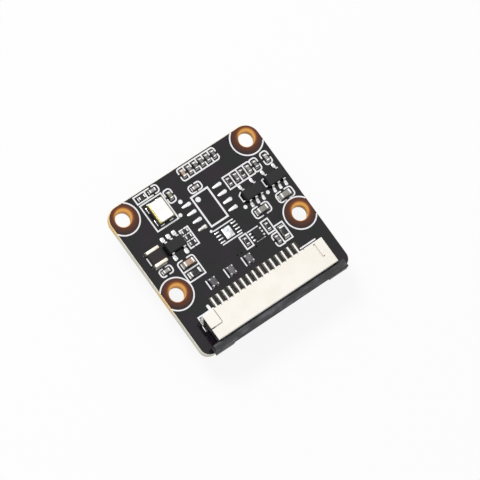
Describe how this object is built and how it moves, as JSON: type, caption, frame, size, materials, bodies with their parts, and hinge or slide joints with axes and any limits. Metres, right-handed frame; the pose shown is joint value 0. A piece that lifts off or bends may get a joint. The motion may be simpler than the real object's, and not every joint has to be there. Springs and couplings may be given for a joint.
{
  "type": "camera module",
  "caption": "Small camera board with chips and a flat-cable connector on the rear, and a glued sensor and lens unit on the front.",
  "frame": {"origin": "centre of the mounting-hole rectangle, on the rear face of the circuit board", "axes": "+Z out of the rear face, away from the lens; +Y towards the board's top edge, away from the cable; +X to the right seen from the rear"},
  "size_m": [0.025, 0.0243, 0.0088],
  "materials": {
    "board_mask": "glossy dark solder mask over glass laminate",
    "solder_tin": "bright tinned pads",
    "capacitor_ceramic": "fired ceramic, grey-beige, with tinned ends",
    "tan_ceramic": "fired ceramic, tan, with tinned ends",
    "resistor_ceramic": "black glazed film on ceramic, with tinned ends",
    "choke_ferrite": "grey ferrite with four tinned corners",
    "mould_compound": "black epoxy mould compound",
    "lead_tin": "tin-plated leads",
    "oscillator_ceramic": "dark ceramic with a gold seal ring",
    "lid_metal": "satin nickel-iron lid",
    "inductor_ferrite": "pressed black ferrite",
    "terminal_tin": "champagne-toned tinned terminals",
    "housing_nylon": "moulded ivory nylon",
    "slider_nylon": "moulded charcoal nylon",
    "contact_bronze": "tin-plated phosphor bronze",
    "foam_tape": "black double-sided foam tape",
    "stiffener_steel": "thin stainless stiffener",
    "flex_film": "amber polyimide over copper",
    "sensor_silicon": "polished silicon",
    "filter_glass": "coated filter glass",
    "holder_plastic": "black moulded liquid-crystal polymer",
    "barrel_plastic": "black moulded polycarbonate",
    "lens_glass": "coated optical plastic",
    "socket_plastic": "black moulded socket"
  },
  "bodies": {
    "board_unit": {"board_socket": "socket_plastic", "capacitor_clock": "capacitor_ceramic", "capacitor_clock_side": "capacitor_ceramic", "capacitor_hole": "capacitor_ceramic", "capacitor_lower_left": "tan_ceramic", "capacitor_lower_right": "capacitor_ceramic", "capacitor_output_1": "capacitor_ceramic", "capacitor_output_2": "capacitor_ceramic", "capacitor_right_1": "capacitor_ceramic", "capacitor_right_2": "capacitor_ceramic", "capacitor_right_3": "capacitor_ceramic", "capacitor_right_4": "capacitor_ceramic", "capacitor_top_1": "tan_ceramic", "capacitor_top_2": "capacitor_ceramic", "capacitor_top_3": "capacitor_ceramic", "capacitor_top_4": "capacitor_ceramic", "capacitor_top_5": "capacitor_ceramic", "capacitor_top_6": "capacitor_ceramic", "capacitor_upper": "capacitor_ceramic", "choke_1": "choke_ferrite", "choke_2": "choke_ferrite", "choke_3": "choke_ferrite", "circuit_board": "board_mask", "ffc_board_locks": "lead_tin", "ffc_contacts": "contact_bronze", "ffc_housing": "housing_nylon", "flex_circuit": "flex_film", "flex_plug": "socket_plastic", "foam_pad": "foam_tape", "front_lens": "lens_glass", "image_sensor": "sensor_silicon", "inductor_core": "inductor_ferrite", "inductor_terminals": "terminal_tin", "infrared_filter": "filter_glass", "lens_barrel": "barrel_plastic", "lens_holder": "holder_plastic", "level_shifter": "mould_compound", "level_shifter_leads": "lead_tin", "oscillator_base": "oscillator_ceramic", "oscillator_lid": "lid_metal", "regulator_left": "mould_compound", "regulator_left_leads": "lead_tin", "regulator_middle": "mould_compound", "regulator_middle_leads": "lead_tin", "regulator_right": "mould_compound", "regulator_right_leads": "lead_tin", "resistor_clock": "resistor_ceramic", "resistor_left_1": "resistor_ceramic", "resistor_left_2": "resistor_ceramic", "resistor_left_3": "resistor_ceramic", "resistor_lower_1": "resistor_ceramic", "resistor_lower_2": "resistor_ceramic", "resistor_lower_left": "resistor_ceramic", "resistor_lower_right": "resistor_ceramic", "resistor_right_1": "resistor_ceramic", "resistor_right_2": "resistor_ceramic", "stiffener_plate": "stiffener_steel", "tinned_pads": "solder_tin"},
    "slider": {"ffc_slider": "slider_nylon"}
  },
  "joints": [
    {"name": "slider_pull", "type": "slide", "parent": "board_unit", "child": "slider", "axis": [0, -1, 0], "range_m": [0, 0.0012]}
  ]
}
